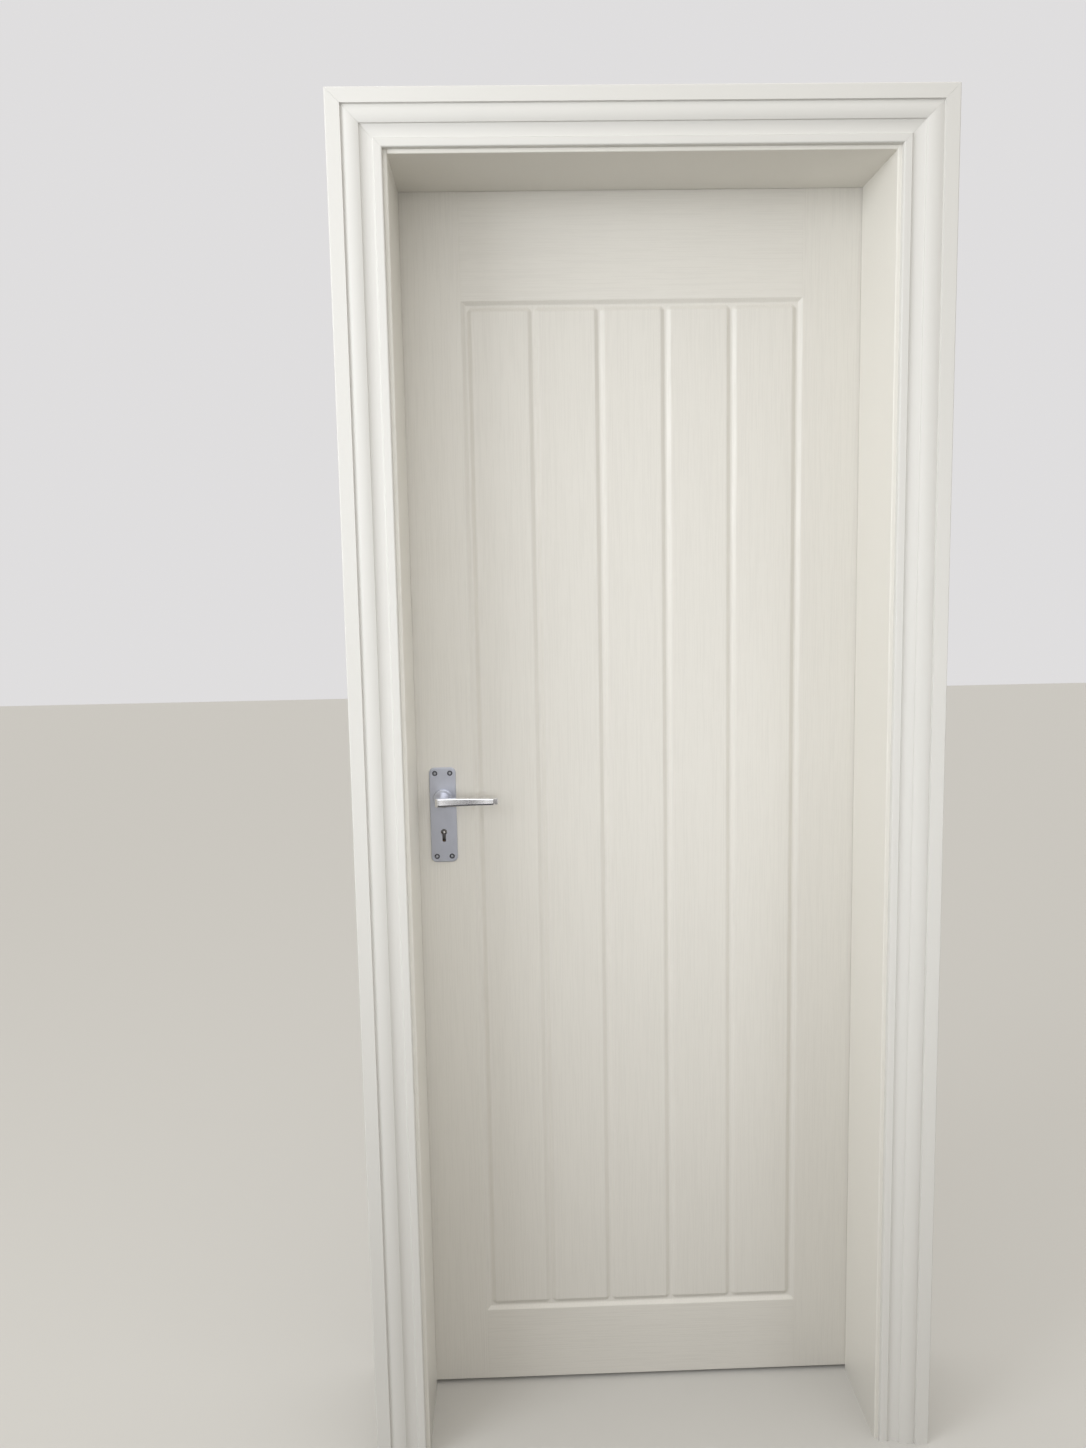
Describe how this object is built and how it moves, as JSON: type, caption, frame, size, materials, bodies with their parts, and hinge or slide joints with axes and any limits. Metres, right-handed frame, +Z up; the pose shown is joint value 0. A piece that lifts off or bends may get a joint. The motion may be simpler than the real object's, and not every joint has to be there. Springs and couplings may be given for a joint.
{
  "type": "panelled door",
  "caption": "Moulded cottage-style door leaf in a deep rebated lining with mitred ogee architraves, butt hinges, a lever lock and lever handles on backplates.",
  "frame": {"origin": "floor level, at the middle of the whole assembly's width and depth", "axes": "+Z up, +X across the doorway towards the hinge side, +Y through it from the front to the rear face"},
  "size_m": [0.936, 0.274, 2.126],
  "materials": {
    "skin_paint": "satin cream-white paint over a moulded fibreboard skin",
    "lining_paint": "softwood with satin cream-white paint",
    "architrave_paint": "softwood with satin cream-white paint",
    "leaf_timber": "softwood, painted where it shows at the leaf's edges",
    "core_timber": "bare softwood",
    "core_paper": "brown kraft paper honeycomb",
    "furniture_aluminium": "satin anodised",
    "hinge_steel": "satin zinc plate",
    "lock_steel": "bright zinc plate",
    "bolt_brass": "machined",
    "spring_steel": "spring wire",
    "screw_steel": "zinc plated"
  },
  "bodies": {
    "frame": {"lining_head": "lining_paint", "lining_latch_jamb": "lining_paint", "lining_hinge_jamb": "lining_paint", "lining_head_screws": "screw_steel", "strike_plate": "lock_steel", "strike_screws": "screw_steel", "hinge_frame_screws": "screw_steel", "architrave_front_head": "architrave_paint", "architrave_front_latch_leg": "architrave_paint", "architrave_front_hinge_leg": "architrave_paint", "architrave_rear_head": "architrave_paint", "architrave_rear_latch_leg": "architrave_paint", "architrave_rear_hinge_leg": "architrave_paint", "hinge_top_frame_leaf": "hinge_steel", "hinge_top_pin": "hinge_steel", "hinge_middle_frame_leaf": "hinge_steel", "hinge_middle_pin": "hinge_steel", "hinge_bottom_frame_leaf": "hinge_steel", "hinge_bottom_pin": "hinge_steel"},
    "leaf": {"front_skin": "skin_paint", "rear_skin": "skin_paint", "lock_stile": "leaf_timber", "hinge_stile": "leaf_timber", "lock_block": "core_timber", "top_rail": "leaf_timber", "bottom_rail": "leaf_timber", "honeycomb_core": "core_paper", "hinge_door_screws": "screw_steel", "forend": "lock_steel", "forend_screws": "screw_steel", "lock_case": "lock_steel", "lock_cover": "lock_steel", "lock_cover_screws": "screw_steel", "latch_spring": "spring_steel", "front_backplate": "furniture_aluminium", "rear_backplate": "furniture_aluminium", "front_plate_screws": "screw_steel", "rear_plate_screws": "screw_steel", "hinge_top_door_leaf": "hinge_steel", "hinge_middle_door_leaf": "hinge_steel", "hinge_bottom_door_leaf": "hinge_steel"},
    "handles": {"front_lever": "furniture_aluminium", "rear_lever": "furniture_aluminium", "spindle": "lock_steel", "follower": "bolt_brass", "front_circlip": "spring_steel", "rear_circlip": "spring_steel", "lever_grub_screws": "screw_steel"},
    "latch": {"latch_bolt": "bolt_brass"},
    "deadbolt": {"deadbolt": "bolt_brass"}
  },
  "joints": [
    {"name": "leaf_swing", "type": "hinge", "parent": "frame", "child": "leaf", "pos_m": [0.3825, 0.0955, 1], "axis": [0, 0, -1], "range_deg": [0, 165]},
    {"name": "handle_turn", "type": "hinge", "parent": "leaf", "child": "handles", "pos_m": [-0.324, 0.0715, 1.06], "axis": [0, 1, 0], "range_deg": [0, 35], "stiffness_Nm_per_rad": 0.6, "springref_deg": -20.05},
    {"name": "latch_slide", "type": "slide", "parent": "leaf", "child": "latch", "axis": [1, 0, 0], "range_m": [0, 0.011], "deforming": ["latch_spring"]},
    {"name": "deadbolt_slide", "type": "slide", "parent": "leaf", "child": "deadbolt", "axis": [-1, 0, 0], "range_m": [0, 0.014]}
  ],
  "couplings": [
    {"joint": "latch_slide", "follows": "handle_turn", "m_per_rad": 0.018}
  ]
}
